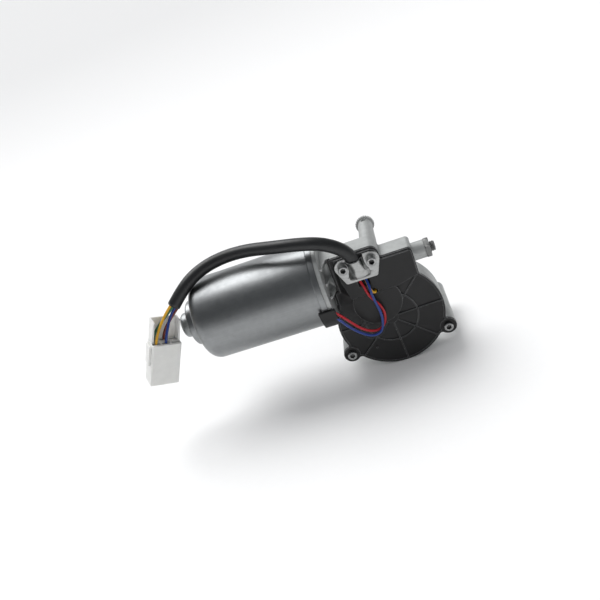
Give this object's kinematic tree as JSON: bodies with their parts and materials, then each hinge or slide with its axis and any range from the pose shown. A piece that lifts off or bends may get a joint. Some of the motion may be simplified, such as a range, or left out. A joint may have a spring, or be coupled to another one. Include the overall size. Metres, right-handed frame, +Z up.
{
  "type": "wiper motor",
  "caption": "Vehicle wiper motor: drawn steel motor can, cast worm gearbox with ribbed black cover, three mounting pillars, splined output shaft and a sleeved lead with a connector.",
  "frame": {"origin": "on the output shaft's axis, in the plane of the three mounting pillars' end faces", "axes": "+X along the armature towards its adjusting screw, +Y along the output shaft away from the gear cover, +Z up, from the output shaft towards the armature"},
  "size_m": [0.2958, 0.1404, 0.1591],
  "materials": {
    "bearing_steel": "ground",
    "black_plastic": "moulded",
    "brass": "stamped",
    "can_steel": "deep drawn, zinc plated",
    "carbon": "pressed carbon",
    "cast_housing": "die cast, satin",
    "clamp_steel": "bright zinc plated",
    "copper": "enamelled",
    "cover_plastic": "satin moulded",
    "ferrite": "sintered ceramic",
    "gasket_rubber": "matte",
    "lamination_steel": "stacked laminations",
    "milky_nylon": "translucent white",
    "nut_steel": "zinc plated",
    "nylon": "moulded",
    "sintered_bronze": "sintered, oiled",
    "sleeve_pvc": "soft satin",
    "spring_steel": "tempered",
    "tinned_brass": "tin plated",
    "wheel_plastic": "moulded acetal",
    "wire_blue": "soft satin",
    "wire_brown": "soft satin",
    "wire_green": "soft satin",
    "wire_red": "soft satin",
    "wire_yellow": "soft satin",
    "zinc_steel": "zinc plated"
  },
  "bodies": {
    "housing": {"adjusting_screw": "zinc_steel", "bearing_outer_ring": "bearing_steel", "blue_lead": "wire_blue", "brush_boxes": "brass", "brush_plate": "black_plastic", "brush_springs": "spring_steel", "cable_clamp": "clamp_steel", "carbon_brushes": "carbon", "case_gasket": "gasket_rubber", "clamp_screws": "zinc_steel", "clamp_washers": "zinc_steel", "connector_housing": "milky_nylon", "connector_terminals": "tinned_brass", "contact_base": "black_plastic", "core_blue": "wire_blue", "core_brown": "wire_brown", "core_green": "wire_green", "core_yellow": "wire_yellow", "cover_screws": "zinc_steel", "end_bush": "sintered_bronze", "field_magnets": "ferrite", "gear_cover": "cover_plastic", "gear_housing": "cast_housing", "lead_outlet": "black_plastic", "lock_nut": "nut_steel", "magnet_clips": "spring_steel", "motor_can": "can_steel", "motor_flange": "cast_housing", "mounting_pillars": "cast_housing", "park_contacts": "brass", "pillar_insert": "zinc_steel", "rear_bush": "sintered_bronze", "red_lead": "wire_red", "shaft_bush_inner": "sintered_bronze", "shaft_bush_outer": "sintered_bronze", "shaft_seal": "gasket_rubber", "sleeve": "sleeve_pvc", "thrust_pad": "nylon", "yellow_lead": "wire_yellow"},
    "armature": {"armature_shaft": "bearing_steel", "armature_core": "lamination_steel", "windings": "copper", "commutator": "copper", "bearing_inner_ring": "bearing_steel", "bearing_balls": "bearing_steel"},
    "output": {"output_shaft": "bearing_steel", "worm_wheel": "wheel_plastic", "wheel_hub": "bearing_steel", "park_disc": "brass", "thrust_washer": "nylon", "shaft_washer": "zinc_steel", "shaft_circlip": "spring_steel"}
  },
  "joints": [
    {"name": "armature_spin", "type": "hinge", "parent": "housing", "child": "armature", "pos_m": [0, -0.061, 0.05], "axis": [1, 0, 0], "continuous": true},
    {"name": "output_spin", "type": "hinge", "parent": "housing", "child": "output", "pos_m": [0, 0, 0], "axis": [0, 1, 0], "continuous": true}
  ],
  "couplings": [
    {"joint": "output_spin", "follows": "armature_spin", "ratio": -0.016667}
  ]
}
